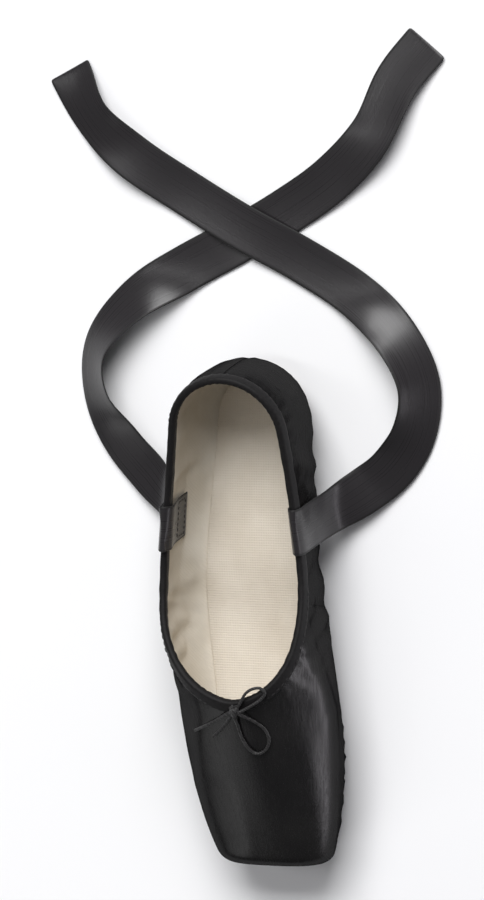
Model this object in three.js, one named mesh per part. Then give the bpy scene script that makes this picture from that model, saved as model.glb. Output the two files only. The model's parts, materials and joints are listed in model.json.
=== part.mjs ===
// Right ballet pointe shoe, standing empty on its sole with its ribbons laid out.
// Millimetres. +X runs to the toe, +Y to the big-toe side, +Z up. The floor is z = 0.
import * as THREE from "three";

// Main sizes of the shoe
const HEEL_X = -119;
const TOE_X = 119;
const HEEL_AXIS_X = -89;
const WAIST_X = -25;
const THROAT_X = 37;
const THROAT_ROUND = 2.0;
const THROAT_SPREAD = 0.62;
const GAP = 0.3;

// Walls and layers
const QUARTER_WALL = 1.6;
const BOX_WALL = 3.0;
const BOX_WALL_FROM = 5;
const BOX_WALL_TO = 65;
const SOLE_THICK = 2.6;
const SOLE_BEVEL = 0.5;
const INSOLE_THICK = 1.8;
const INSOLE_BEVEL = 0.4;
const INSOLE_TOE_FROM = 92;
const INSOLE_TOE_TO = 108;

// Arch and toe spring
const HEEL_FLAT_END = -70;
const BALL_FLAT_START = 18;
const BALL_FLAT_END = 78;
const ARCH_RISE = 3.5;
const TOE_SPRING = 3.0;

// Rounded edge of the platform, along the shoe and across it
const EDGE_RUN = 6;
const EDGE_IN_Y = 5.5;
const EDGE_IN_Z = 4.8;

// Slot under the upper that the sole closes, as a share of the flat seat
const SLOT_SHARE = 0.5;
const SLOT_TAPER_X = 50;
const SLOT_END_X = 75;

// Sections of the last, heel to toe: middle line, half width, height of the widest point,
// height of the crown, inward tuck down to the flat seat, and how square the top is
const LAST = [
  { x: -89, middle: -0.7, half: 30.0, belly: 20, crown: 84, tuck: 10.5, square: 2.2 },
  { x: -60, middle: -2.2, half: 32.6, belly: 20, crown: 84, tuck: 11.0, square: 2.2 },
  { x: -30, middle: -3.5, half: 35.2, belly: 21, crown: 83, tuck: 12.0, square: 2.2 },
  { x: 0, middle: -3.3, half: 37.4, belly: 21, crown: 76, tuck: 12.0, square: 2.15 },
  { x: 20, middle: -1.6, half: 37.7, belly: 20, crown: 66, tuck: 11.5, square: 2.1 },
  { x: 37, middle: 0.5, half: 37.5, belly: 20, crown: 59, tuck: 11.0, square: 2.1 },
  { x: 53, middle: 2.0, half: 37.7, belly: 20, crown: 54.5, tuck: 10.5, square: 2.15 },
  { x: 65, middle: 2.9, half: 37.5, belly: 20, crown: 51.5, tuck: 10.0, square: 2.2 },
  { x: 84, middle: 4.3, half: 35.2, belly: 20, crown: 46.5, tuck: 9.5, square: 2.3 },
  { x: 102, middle: 5.5, half: 31.6, belly: 20, crown: 41, tuck: 9.0, square: 2.5 },
  { x: 119, middle: 6.8, half: 26.4, belly: 20, crown: 35.5, tuck: 8.5, square: 2.7 },
];

// Height of the topline over the quarters, from the heel to the waist
const TOPLINE = [
  { x: -119, height: 56 },
  { x: -105, height: 53.5 },
  { x: -75, height: 47 },
  { x: -45, height: 42 },
  { x: -25, height: 40.5 },
];

// Half width of the outsole, with a round end in front of the first and last rows
const SOLE = [
  { x: -89, half: 22.0 },
  { x: -60, half: 19.5 },
  { x: -25, half: 17.0 },
  { x: 0, half: 18.8 },
  { x: 30, half: 23.8 },
  { x: 55, half: 26.2 },
  { x: 75, half: 24.5 },
];
const SOLE_HEEL_END = 22;
const SOLE_TOE_END = 21;

// Casing of folded tape over the topline
const CASING_TAPE = 0.6;
const CASING_LIP = 4.0;
const CASING_LIP_TURN = 0.2;
const CASING_GAP = 0.4;
const CASING_CROWN = 1.5;

// Ribbons and drawstring
const RIBBON_WIDTH = 22;
const RIBBON_THICK = 0.6;
const CORD_DIAMETER = 1.4;

// Routes of the two ribbons: where the middle line runs and which way its face looks.
// They start sewn inside the quarter, go over the topline, and lie on the floor behind.
const RIBBON_MEDIAL = [
  { at: [-44.4, 28.0, 17], face: [0.05, -1, 0] },
  { at: [-43.2, 27.9, 29], face: [0.05, -1, -0.04] },
  { at: [-42.5, 26.6, 36.5], face: [0.05, -1, -0.13] },
  { at: [-42.0, 26.1, 41.5], face: [0.05, -1, -0.05] },
  { at: [-41.8, 28.9, 45.4], face: [0.1, 0, 1] },
  { at: [-42.0, 31.6, 41.3], face: [-0.05, 1, 0.1] },
  { at: [-43.5, 32.9, 29], face: [-0.05, 1, 0.15] },
  { at: [-47, 37.5, 13.5], face: [0, 0.9, 0.5] },
  { at: [-55, 50, 5.2], face: [-0.1, 0.35, 0.95] },
  { at: [-66, 64, 4.2], face: [0.3, 0.05, 0.95] },
  { at: [-84, 76, 7], face: [0.3, 0.5, 0.85] },
  { at: [-106, 79, 8.5], face: [0.1, 0.7, 0.75] },
  { at: [-128, 68, 7], face: [-0.3, 0.45, 0.85] },
  { at: [-146, 48, 2], face: [-0.08, 0.08, 1] },
  { at: [-162, 22, 1.5], face: [0, 0, 1] },
  { at: [-177, -6, 2.9], face: [0, 0, 1] },
  { at: [-193, -34, 1.5], face: [0, 0, 1] },
  { at: [-210, -59, 4.6], face: [0.2, 0.3, 0.95] },
  { at: [-228, -78, 4.2], face: [0.25, -0.2, 0.95] },
  { at: [-250, -90, 0.7], face: [0, 0, 1] },
];
const RIBBON_LATERAL = [
  { at: [-44.4, -33.8, 17], face: [0.13, 1, 0] },
  { at: [-43.2, -33.9, 29], face: [0.13, 1, -0.04] },
  { at: [-42.5, -32.7, 36.5], face: [0.13, 1, -0.13] },
  { at: [-42.0, -32.1, 41.5], face: [0.13, 1, -0.05] },
  { at: [-41.8, -35.0, 45.4], face: [0.1, 0, 1] },
  { at: [-42.0, -37.9, 41.3], face: [-0.13, -1, 0.1] },
  { at: [-44, -39.3, 29], face: [-0.13, -1, 0.15] },
  { at: [-49, -44, 13.5], face: [-0.1, -0.9, 0.5] },
  { at: [-59, -55, 5.2], face: [-0.1, -0.35, 0.95] },
  { at: [-75, -69, 4.4], face: [0.3, -0.1, 0.95] },
  { at: [-97, -80, 7.5], face: [0.2, -0.6, 0.8] },
  { at: [-121, -79, 8.5], face: [-0.1, -0.7, 0.75] },
  { at: [-142, -61, 6], face: [-0.3, -0.35, 0.9] },
  { at: [-157, -36, 1.7], face: [0, 0, 1] },
  { at: [-170, -11, 0.6], face: [0, 0, 1] },
  { at: [-184, 14, 0.6], face: [0, 0, 1] },
  { at: [-200, 38, 2.6], face: [0.12, -0.12, 1] },
  { at: [-220, 58, 5.2], face: [0.25, -0.35, 0.9] },
  { at: [-245, 71, 3.2], face: [0.05, -0.15, 1] },
  { at: [-263, 86, 0.8], face: [0, 0, 1] },
];

// Drawstring bow at the throat: the knot, two loops and two ends, along their middle lines
const KNOT = { at: [39.5, 2.6, 61.4], size: [2.6, 3.2, 1.7] };
const LOOP_LOW = [
  [42.3, 2.0, 60.2],
  [46.8, 2.7, 57.4],
  [52.0, 3.6, 55.8],
  [57.4, 6.0, 54.3],
  [60.6, 10.0, 53.3],
  [58.6, 14.4, 52.9],
  [53.4, 16.5, 53.5],
  [48.2, 14.6, 55.1],
  [44.6, 10.4, 56.9],
  [41.3, 5.4, 60.1],
];
const LOOP_HIGH = [
  [36.8, 4.8, 61.4],
  [33.8, 6.6, 61.5],
  [30.6, 8.6, 61.2],
  [28.6, 11.8, 60.6],
  [28.4, 15.2, 59.8],
  [30.6, 17.2, 59.5],
  [33.4, 15.4, 59.6],
  [36.2, 11.4, 60.2],
  [38.9, 6.6, 60.4],
];
const END_LONG = [
  [40.4, -0.7, 60.7],
  [44.2, -6.8, 57.4],
  [47.8, -13.6, 54.5],
  [51.6, -21.2, 49.8],
];
const END_SHORT = [
  [41.7, 0.7, 60.0],
  [46.4, -3.4, 57.1],
  [50.0, -7.0, 55.7],
  [53.2, -10.8, 54.1],
];

const QUARTER_TURN = Math.PI / 2;

// Smooth value of one column of a table at x
function tableAt(rows, column, x) {
  const last = rows.length - 1;
  if (x <= rows[0].x) return rows[0][column];
  if (x >= rows[last].x) return rows[last][column];
  const i = rows.findIndex((row, k) => x < rows[k + 1].x);
  const slope = (k) => {
    const a = rows[Math.max(k - 1, 0)];
    const b = rows[Math.min(k + 1, last)];
    return (b[column] - a[column]) / (b.x - a.x);
  };
  const span = rows[i + 1].x - rows[i].x;
  const t = (x - rows[i].x) / span;
  const here = rows[i][column] * (1 + 2 * t) * (1 - t) ** 2;
  const there = rows[i + 1][column] * t * t * (3 - 2 * t);
  const leave = slope(i) * span * t * (1 - t) ** 2;
  const arrive = slope(i + 1) * span * t * t * (t - 1);
  return here + there + leave + arrive;
}

// Lift of the underside off the floor: an arch behind the ball and a little toe spring
function rise(x) {
  if (x > HEEL_FLAT_END && x < BALL_FLAT_START) {
    const t = (x - HEEL_FLAT_END) / (BALL_FLAT_START - HEEL_FLAT_END);
    return ARCH_RISE * Math.sin(Math.PI * t) ** 2;
  }
  if (x > BALL_FLAT_END) return TOE_SPRING * ((x - BALL_FLAT_END) / (TOE_X - BALL_FLAT_END)) ** 2;
  return 0;
}

const seatHeight = (x) => SOLE_THICK + GAP + rise(x);

// Wall of the upper: cloth at the quarters, pasted layers in the box
function wallAt(x) {
  const share = THREE.MathUtils.smoothstep(x, BOX_WALL_FROM, BOX_WALL_TO);
  return QUARTER_WALL + (BOX_WALL - QUARTER_WALL) * share;
}

function sectionAt(x) {
  const section = { x, base: seatHeight(x) };
  for (const column of ["middle", "half", "belly", "crown", "tuck", "square"]) {
    section[column] = tableAt(LAST, column, x);
  }
  section.seat = section.half - section.tuck;
  return section;
}

// Point of a section as distance out and height. Reach is 0 under the middle, 1 at the edge
// of the flat seat, 2 at the widest point and 3 at the crown.
function profile(section, reach) {
  if (reach <= 1) return { out: section.seat * reach, z: section.base };
  if (reach <= 2) {
    const a = (reach - 1) * QUARTER_TURN;
    const z = section.belly - (section.belly - section.base) * Math.cos(a);
    return { out: section.seat + section.tuck * Math.sin(a), z };
  }
  const a = (reach - 2) * QUARTER_TURN;
  const power = 2 / section.square;
  const out = section.half * Math.max(Math.cos(a), 0) ** power;
  return { out, z: section.belly + (section.crown - section.belly) * Math.sin(a) ** power };
}

// Reach of the topline: a height over the quarters, then a round throat up to the crown
function reachAtHeight(section, height) {
  const share = (height - section.belly) / (section.crown - section.belly);
  return 2 + Math.asin(share ** (section.square / 2)) / QUARTER_TURN;
}
const WAIST_REACH = reachAtHeight(sectionAt(WAIST_X), tableAt(TOPLINE, "height", WAIST_X));

function topReach(section, plan_x) {
  if (plan_x >= THROAT_X) return 3;
  if (plan_x <= WAIST_X) return reachAtHeight(section, tableAt(TOPLINE, "height", plan_x));
  const t = (plan_x - WAIST_X) / (THROAT_X - WAIST_X);
  return 3 - (3 - WAIST_REACH) * (1 - t ** THROAT_ROUND) ** THROAT_SPREAD;
}

function slotReach(x) {
  if (x >= SLOT_END_X) return 0;
  const t = Math.max((x - SLOT_TAPER_X) / (SLOT_END_X - SLOT_TAPER_X), 0);
  return SLOT_SHARE * Math.sqrt(1 - t * t);
}

// Stations from the back of the heel to the platform. The heel turns about an upright axis.
function makeStations() {
  const stations = [];
  const heel_steps = 8;
  for (let i = 0; i < heel_steps; i++) {
    const turn = (i / heel_steps) * QUARTER_TURN;
    const plan_x = HEEL_AXIS_X - (HEEL_AXIS_X - HEEL_X) * Math.cos(turn);
    stations.push({ x: HEEL_AXIS_X, turn, plan_x, edge: 0 });
  }
  const planar = (x) => stations.push({ x, turn: QUARTER_TURN, plan_x: x, edge: 0 });
  const quarter_steps = 6;
  for (let i = 0; i < quarter_steps; i++) {
    planar(HEEL_AXIS_X + ((WAIST_X - HEEL_AXIS_X) * i) / quarter_steps);
  }
  const throat_steps = 10;
  for (let i = 0; i < throat_steps; i++) {
    planar(WAIST_X + (THROAT_X - WAIST_X) * Math.sin((i / throat_steps) * QUARTER_TURN));
  }
  const vamp_steps = 4;
  for (let i = 0; i < vamp_steps; i++) planar(THROAT_X + ((SLOT_END_X - THROAT_X) * i) / vamp_steps);
  for (let i = 0; i < vamp_steps; i++) {
    planar(SLOT_END_X + ((TOE_X - EDGE_RUN - SLOT_END_X) * i) / vamp_steps);
  }
  const edge_steps = 5;
  for (let i = 0; i <= edge_steps; i++) {
    const edge = (i / edge_steps) * QUARTER_TURN;
    const x = TOE_X - EDGE_RUN * (1 - Math.sin(edge));
    stations.push({ x, turn: QUARTER_TURN, plan_x: x, edge });
  }
  return stations;
}

// Point of the outer skin at a station, on one side, at a reach
function skinPoint(station, side, reach) {
  const section = sectionAt(station.x);
  let { out, z } = profile(section, reach);
  const inset = 1 - Math.cos(station.edge);
  const half_height = (section.crown - section.base) / 2;
  const centre = section.base + half_height;
  out *= 1 - (EDGE_IN_Y * inset) / section.half;
  z = centre + (z - centre) * (1 - (EDGE_IN_Z * inset) / half_height);
  const x = station.x - Math.cos(station.turn) * out;
  return new THREE.Vector3(x, section.middle + side * Math.sin(station.turn) * out, z);
}

// Rows of the skin at a station, from the slot underneath up to the topline
const SEAT_ROWS = 2;
const TUCK_ROWS = 4;
const SIDE_ROWS = 9;
const TOP_ROW = SEAT_ROWS + TUCK_ROWS + SIDE_ROWS;

function rowReach(station, row) {
  const section = sectionAt(station.x);
  if (row <= SEAT_ROWS) {
    const from = slotReach(station.x);
    return from + ((1 - from) * row) / SEAT_ROWS;
  }
  if (row <= SEAT_ROWS + TUCK_ROWS) return 1 + (row - SEAT_ROWS) / TUCK_ROWS;
  return 2 + ((topReach(section, station.plan_x) - 2) * (row - SEAT_ROWS - TUCK_ROWS)) / SIDE_ROWS;
}

// A surface as shared points and triangles
class Surface {
  constructor() {
    this.points = [];
    this.faces = [];
    this.known = new Map();
  }
  point(p) {
    const key = [p.x, p.y, p.z].map((v) => Math.round(v * 2000)).join(" ");
    if (!this.known.has(key)) {
      this.known.set(key, this.points.length);
      this.points.push(p.clone());
    }
    return this.known.get(key);
  }
  triangle(a, b, c) {
    const ids = [this.point(a), this.point(b), this.point(c)];
    if (new Set(ids).size === 3) this.faces.push(ids);
  }
  quad(a, b, c, d) {
    if (a.distanceTo(c) <= b.distanceTo(d)) {
      this.triangle(a, b, c);
      this.triangle(a, c, d);
    } else {
      this.triangle(a, b, d);
      this.triangle(b, c, d);
    }
  }
  normals() {
    const sums = this.points.map(() => new THREE.Vector3());
    for (const ids of this.faces) {
      const [a, b, c] = ids.map((id) => this.points[id]);
      const face = new THREE.Vector3().crossVectors(b.clone().sub(a), c.clone().sub(a));
      for (const id of ids) sums[id].add(face);
    }
    return sums.map((n) => n.normalize());
  }
  geometry() {
    const geometry = new THREE.BufferGeometry();
    const flat = this.points.flatMap((p) => [p.x, p.y, p.z]);
    geometry.setAttribute("position", new THREE.Float32BufferAttribute(flat, 3));
    geometry.setIndex(this.faces.flat());
    geometry.computeVertexNormals();
    return geometry;
  }
}

// The outer skin of the upper, both sides, with the flat of the platform
function makeSkin(stations) {
  const skin = new Surface();
  const grid = {};
  for (const side of [-1, 1]) {
    grid[side] = stations.map((station) =>
      Array.from({ length: TOP_ROW + 1 }, (unused, row) =>
        skinPoint(station, side, rowReach(station, row))));
  }
  for (let i = 0; i + 1 < stations.length; i++) {
    for (let row = 0; row < TOP_ROW; row++) {
      const [l, r] = [grid[-1], grid[1]];
      skin.quad(l[i][row], l[i + 1][row], l[i + 1][row + 1], l[i][row + 1]);
      skin.quad(r[i][row], r[i][row + 1], r[i + 1][row + 1], r[i + 1][row]);
    }
  }
  const end = stations.length - 1;
  const ring = [...grid[1][end], ...grid[-1][end].slice(1, -1).reverse()];
  const centre = new THREE.Vector3();
  for (const p of ring) centre.add(p);
  centre.divideScalar(ring.length);
  for (let k = 0; k < ring.length; k++) skin.triangle(centre, ring[k], ring[(k + 1) % ring.length]);
  return { skin, grid };
}

// A wall under a skin: the skin, its inner copy, and rims along the open edges
function thicken(skin) {
  const shell = new Surface();
  const normals = skin.normals();
  const inner = skin.points.map((p, k) => p.clone().addScaledVector(normals[k], -wallAt(p.x)));
  const edges = new Set(skin.faces.flatMap(([a, b, c]) => [`${a} ${b}`, `${b} ${c}`, `${c} ${a}`]));
  for (const [a, b, c] of skin.faces) {
    shell.triangle(skin.points[a], skin.points[b], skin.points[c]);
    shell.triangle(inner[a], inner[c], inner[b]);
    for (const [from, to] of [[a, b], [b, c], [c, a]]) {
      if (!edges.has(`${to} ${from}`)) {
        shell.quad(skin.points[to], skin.points[from], inner[from], inner[to]);
      }
    }
  }
  return shell;
}

// A section of points carried through a list of places, closed into a ring or capped
function sweep(rings, closed) {
  const solid = new Surface();
  const count = rings[0].length;
  const steps = closed ? rings.length : rings.length - 1;
  for (let i = 0; i < steps; i++) {
    const next = rings[(i + 1) % rings.length];
    for (let k = 0; k < count; k++) {
      const m = (k + 1) % count;
      solid.quad(rings[i][k], rings[i][m], next[m], next[k]);
    }
  }
  if (!closed) {
    const end = rings[rings.length - 1];
    for (let k = 1; k + 1 < count; k++) {
      solid.triangle(rings[0][0], rings[0][k + 1], rings[0][k]);
      solid.triangle(end[0], end[k], end[k + 1]);
    }
  }
  return solid;
}

// Folded tape over the whole topline, a gap off the wall on both faces
function makeCasing(stations, grid, skin) {
  const normals = skin.normals();
  const throat = stations.findIndex((station) => station.plan_x >= THROAT_X);
  const loop = [];
  for (let i = throat; i >= 0; i--) loop.push(grid[-1][i][TOP_ROW]);
  for (let i = 1; i < throat; i++) loop.push(grid[1][i][TOP_ROW]);
  const rings = loop.map((p, i) => {
    const before = loop[(i + loop.length - 1) % loop.length];
    const after = loop[(i + 1) % loop.length];
    const travel = after.clone().sub(before).normalize();
    const face = normals[skin.point(p)].clone();
    face.addScaledVector(travel, -face.dot(travel)).normalize();
    const away = new THREE.Vector3().crossVectors(travel, face);
    const near = CASING_GAP;
    const far = -wallAt(p.x) - CASING_GAP;
    const middle = (near + far) / 2;
    const half = (near - far) / 2 + CASING_TAPE;
    const back = far - CASING_LIP_TURN;
    const section = [[near, GAP], [near, -CASING_LIP], [near + CASING_TAPE, -CASING_LIP]];
    for (let k = 0; k <= 6; k++) {
      const a = (k / 6) * Math.PI;
      section.push([middle + half * Math.cos(a), GAP + CASING_CROWN * Math.sin(a)]);
    }
    section.push([back - CASING_TAPE, -CASING_LIP], [back, -CASING_LIP], [far, GAP]);
    return section.map(([a, b]) => p.clone().addScaledVector(face, a).addScaledVector(away, b));
  });
  return sweep(rings, true);
}

// A flat layer from stations along the shoe, with small bevels on its edges
function makeLayer(rows, bevel) {
  const rings = rows.map(({ x, middle, half, low, high }) => {
    const cut = Math.min(bevel, half / 2);
    const side = [[half - cut, low], [half, low + bevel], [half, high - bevel], [half - cut, high]];
    const other = side.map(([y, z]) => [-y, z]).reverse();
    return [...side, ...other].map(([y, z]) => new THREE.Vector3(x, middle + y, z));
  });
  return sweep(rings, false);
}

// Places along a layer: closer together at its two round ends
function layerPlaces(from, first, last, to, steps) {
  const places = [];
  const round = [5, 22, 39, 56, 73].map((deg) => THREE.MathUtils.degToRad(deg));
  for (const a of round) places.push({ x: first - (first - from) * Math.cos(a), share: Math.sin(a) });
  for (let i = 0; i <= steps; i++) places.push({ x: first + ((last - first) * i) / steps, share: 1 });
  for (const a of [...round].reverse()) {
    places.push({ x: last + (to - last) * Math.cos(a), share: Math.sin(a) });
  }
  return places;
}

function makeOutsole() {
  const first = SOLE[0].x;
  const last = SOLE[SOLE.length - 1].x;
  const places = layerPlaces(first - SOLE_HEEL_END, first, last, last + SOLE_TOE_END, 20);
  const rows = places.map(({ x, share }) => {
    const half = tableAt(SOLE, "half", x) * share;
    const low = rise(x);
    return { x, middle: tableAt(LAST, "middle", x), half, low, high: low + SOLE_THICK };
  });
  return makeLayer(rows, SOLE_BEVEL);
}

function makeInsole() {
  const heel_end = sectionAt(HEEL_AXIS_X).seat;
  const places = layerPlaces(HEEL_AXIS_X - heel_end, HEEL_AXIS_X, INSOLE_TOE_FROM, INSOLE_TOE_TO, 20);
  const rows = places.map(({ x, share }) => {
    const section = sectionAt(x);
    const low = section.base + wallAt(x) + GAP;
    const half = section.seat * share;
    return { x, middle: section.middle, half, low, high: low + INSOLE_THICK };
  });
  return makeLayer(rows, INSOLE_BEVEL);
}

// A ribbon: a thin flat section carried along its route, turned to its face
const RIBBON_STEPS_PER_ROW = 5;

function makeRibbon(route) {
  const path = new THREE.CatmullRomCurve3(
    route.map((row) => new THREE.Vector3(...row.at)), false, "catmullrom");
  const facing = new THREE.CatmullRomCurve3(
    route.map((row) => new THREE.Vector3(...row.face)), false, "catmullrom");
  const rings = [];
  const steps = (route.length - 1) * RIBBON_STEPS_PER_ROW;
  for (let i = 0; i <= steps; i++) {
    const t = i / steps;
    const p = path.getPoint(t);
    const travel = path.getTangent(t);
    const face = facing.getPoint(t);
    face.addScaledVector(travel, -face.dot(travel)).normalize();
    const across = new THREE.Vector3().crossVectors(travel, face);
    across.multiplyScalar(RIBBON_WIDTH / 2);
    face.multiplyScalar(RIBBON_THICK / 2);
    const corners = [[-1, -1], [-1, 1], [1, 1], [1, -1]];
    rings.push(corners.map(([a, f]) => p.clone().addScaledVector(across, a).addScaledVector(face, f)));
  }
  return sweep(rings, false);
}

// A thin cord along hand-placed points
function makeCord(points) {
  const path = new THREE.CatmullRomCurve3(points.map((p) => new THREE.Vector3(...p)));
  const round = new THREE.Shape();
  round.absarc(0, 0, CORD_DIAMETER / 2, 0, 2 * Math.PI, false);
  const steps = Math.max(6, Math.round(path.getLength() / (2 * CORD_DIAMETER)));
  const tube = { extrudePath: path, steps, curveSegments: 8, bevelEnabled: false };
  return new THREE.ExtrudeGeometry(round, tube);
}

function makeKnot() {
  const knot = new THREE.SphereGeometry(1, 12, 8);
  knot.scale(...KNOT.size);
  knot.translate(...KNOT.at);
  return knot;
}

const satin = { color: "#252324", roughness: 0.42, metalness: 0 };
const tape = { color: "#1d1b1c", roughness: 0.6, metalness: 0 };
const ribbon_satin = { color: "#211f21", roughness: 0.38, metalness: 0 };
const cotton_cord = { color: "#191819", roughness: 0.8, metalness: 0 };
const sole_leather = { color: "#b8946c", roughness: 0.75, metalness: 0 };
const sock_cloth = { color: "#d9d0c4", roughness: 0.85, metalness: 0 };

const shoe = new THREE.Group();
shoe.name = "pointe_shoe";

function add(name, geometry, look) {
  const mesh = new THREE.Mesh(geometry, new THREE.MeshStandardMaterial(look));
  mesh.name = name;
  shoe.add(mesh);
}

const stations = makeStations();
const { skin, grid } = makeSkin(stations);
add("upper", thicken(skin).geometry(), satin);
add("topline_casing", makeCasing(stations, grid, skin).geometry(), tape);
add("outsole", makeOutsole().geometry(), sole_leather);
add("insole", makeInsole().geometry(), sock_cloth);
add("ribbon_medial", makeRibbon(RIBBON_MEDIAL).geometry(), ribbon_satin);
add("ribbon_lateral", makeRibbon(RIBBON_LATERAL).geometry(), ribbon_satin);
add("drawstring_knot", makeKnot(), cotton_cord);
add("drawstring_loop_low", makeCord(LOOP_LOW), cotton_cord);
add("drawstring_loop_high", makeCord(LOOP_HIGH), cotton_cord);
add("drawstring_end_long", makeCord(END_LONG), cotton_cord);
add("drawstring_end_short", makeCord(END_SHORT), cotton_cord);

export default shoe;
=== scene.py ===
# Right ballet pointe shoe in black satin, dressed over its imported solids.
# Metres. +X runs to the toe, +Y to the medial side, +Z up. The floor is z = 0.
import json
import math

import bmesh
import bpy
import numpy as np
from mathutils import Matrix, Vector

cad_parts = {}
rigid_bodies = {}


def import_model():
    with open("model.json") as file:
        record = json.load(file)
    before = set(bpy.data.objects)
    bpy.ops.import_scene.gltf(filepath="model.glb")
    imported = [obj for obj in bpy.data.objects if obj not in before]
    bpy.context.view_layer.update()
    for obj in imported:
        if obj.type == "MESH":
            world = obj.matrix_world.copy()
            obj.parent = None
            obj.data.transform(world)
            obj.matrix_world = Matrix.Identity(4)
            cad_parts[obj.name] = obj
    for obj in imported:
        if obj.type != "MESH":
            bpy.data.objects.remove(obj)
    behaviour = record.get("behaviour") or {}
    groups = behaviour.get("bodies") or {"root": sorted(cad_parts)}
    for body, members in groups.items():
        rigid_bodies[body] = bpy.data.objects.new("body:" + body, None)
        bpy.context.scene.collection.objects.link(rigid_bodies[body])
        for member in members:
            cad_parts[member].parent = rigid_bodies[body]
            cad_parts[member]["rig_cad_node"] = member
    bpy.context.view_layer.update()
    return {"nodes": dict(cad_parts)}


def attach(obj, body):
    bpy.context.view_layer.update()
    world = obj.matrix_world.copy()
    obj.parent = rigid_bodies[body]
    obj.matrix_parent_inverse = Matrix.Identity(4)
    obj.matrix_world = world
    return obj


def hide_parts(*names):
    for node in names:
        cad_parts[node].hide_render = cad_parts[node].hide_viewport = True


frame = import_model()
MM = 0.001

# Camera: leaned towards the heel, turned to the medial side, rolled a little
CAMERA_LEAN = math.radians(9.5)
CAMERA_TURN = math.radians(20)
CAMERA_ROLL = math.radians(-2)
CAMERA_TARGET = Vector((-74, -7, 12)) * MM
CAMERA_LENS = 250
CAMERA_SENSOR = 36
CAMERA_FIELD = 418 * MM

# Middle line of the shoe from heel to toe, and the heart line inside it, in millimetres
MIDDLE_X = (-89, -60, -30, 0, 37, 65, 102, 119)
MIDDLE_Y = (-0.7, -2.2, -3.5, -3.3, 0.5, 2.9, 5.5, 6.8)
HEART_HEIGHT = 21
HEART_HEEL = -89
HEART_TOE = 98

# Ribbons in millimetres, with lengths along them in metres
RIBBON_WIDTH = 22
RIBBON_THICK = 0.5
RIBBON_COLUMNS = 10
RIBBON_STEPS = 8
RIBBON_CURL = 0.5
RIBBON_CURL_MEAN = 0.33
RIBBON_CURL_ALONG = (0.09, 0.14)
# Their middle lines, and the way that the face looks at each point
RIBBON_MEDIAL = [
    ((-44.4, 28.0, 17), (0.05, -1, 0)),
    ((-43.2, 27.9, 29), (0.05, -1, -0.04)),
    ((-42.5, 26.6, 36.5), (0.05, -1, -0.13)),
    ((-42.0, 26.1, 41.5), (0.05, -1, -0.05)),
    ((-41.8, 28.9, 45.4), (0.1, 0, 1)),
    ((-42.0, 31.6, 41.3), (-0.05, 1, 0.1)),
    ((-43.5, 32.9, 29), (-0.05, 1, 0.15)),
    ((-47, 37.5, 13.5), (0, 0.9, 0.5)),
    ((-55, 50, 5.2), (-0.1, 0.35, 0.95)),
    ((-66, 64, 4.2), (0.3, 0.05, 0.95)),
    ((-84, 76, 7), (0.3, 0.5, 0.85)),
    ((-106, 79, 8.5), (0.1, 0.7, 0.75)),
    ((-128, 68, 7), (-0.3, 0.45, 0.85)),
    ((-146, 48, 2), (-0.08, 0.08, 1)),
    ((-162, 22, 1.5), (0, 0, 1)),
    ((-177, -6, 2.9), (0, 0, 1)),
    ((-193, -34, 1.5), (0, 0, 1)),
    ((-210, -59, 4.6), (0.2, 0.3, 0.95)),
    ((-228, -78, 4.2), (0.25, -0.2, 0.95)),
    ((-250, -90, 0.7), (0, 0, 1)),
]
RIBBON_LATERAL = [
    ((-44.4, -33.8, 17), (0.13, 1, 0)),
    ((-43.2, -33.9, 29), (0.13, 1, -0.04)),
    ((-42.5, -32.7, 36.5), (0.13, 1, -0.13)),
    ((-42.0, -32.1, 41.5), (0.13, 1, -0.05)),
    ((-41.8, -35.0, 45.4), (0.1, 0, 1)),
    ((-42.0, -37.9, 41.3), (-0.13, -1, 0.1)),
    ((-44, -39.3, 29), (-0.13, -1, 0.15)),
    ((-49, -44, 13.5), (-0.1, -0.9, 0.5)),
    ((-59, -55, 5.2), (-0.1, -0.35, 0.95)),
    ((-75, -69, 4.4), (0.3, -0.1, 0.95)),
    ((-97, -80, 7.5), (0.2, -0.6, 0.8)),
    ((-121, -79, 8.5), (-0.1, -0.7, 0.75)),
    ((-142, -61, 6), (-0.3, -0.35, 0.9)),
    ((-157, -36, 1.7), (0, 0, 1)),
    ((-170, -11, 0.6), (0, 0, 1)),
    ((-184, 14, 0.6), (0, 0, 1)),
    ((-200, 38, 2.6), (0.12, -0.12, 1)),
    ((-220, 58, 5.2), (0.25, -0.35, 0.9)),
    ((-245, 71, 3.2), (0.05, -0.15, 1)),
    ((-263, 86, 0.8), (0, 0, 1)),
]

# Drawstring: each strand comes out of the casing, makes a loop and ends free, in millimetres
CORD_DIAMETER = 1.4
CORD_STEPS = 5
STRAND_LOW = [
    (36.6, 1.6, 60.4), (39.4, 1.6, 61.6), (42.3, 2.0, 60.3), (46.8, 2.7, 57.4), (52.0, 3.6, 55.8),
    (57.4, 6.0, 54.3), (60.6, 10.0, 53.3), (58.6, 14.4, 52.9), (53.4, 16.5, 53.5), (48.2, 14.6, 55.1),
    (44.6, 10.4, 56.9), (41.3, 5.4, 60.1), (39.6, 2.6, 61.6), (40.4, -0.7, 60.7), (44.2, -6.8, 57.4),
    (47.8, -13.6, 54.5), (51.6, -21.2, 49.8),
]
STRAND_HIGH = [
    (37.4, 2.4, 60.6), (36.8, 4.8, 61.4), (33.8, 6.6, 61.5), (30.6, 8.6, 61.2), (28.6, 11.8, 60.6),
    (28.4, 15.2, 59.8), (30.6, 17.2, 59.5), (33.4, 15.4, 59.6), (36.2, 11.4, 60.2), (38.9, 6.6, 60.5),
    (40.3, 3.6, 61.3), (41.7, 0.7, 60.2), (46.4, -3.4, 57.1), (50.0, -7.0, 55.7), (53.2, -10.8, 54.1),
]
KNOT_AT = (39.5, 2.6, 61.4)
KNOT_CORE = (1.9, 2.5, 1.2)
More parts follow.
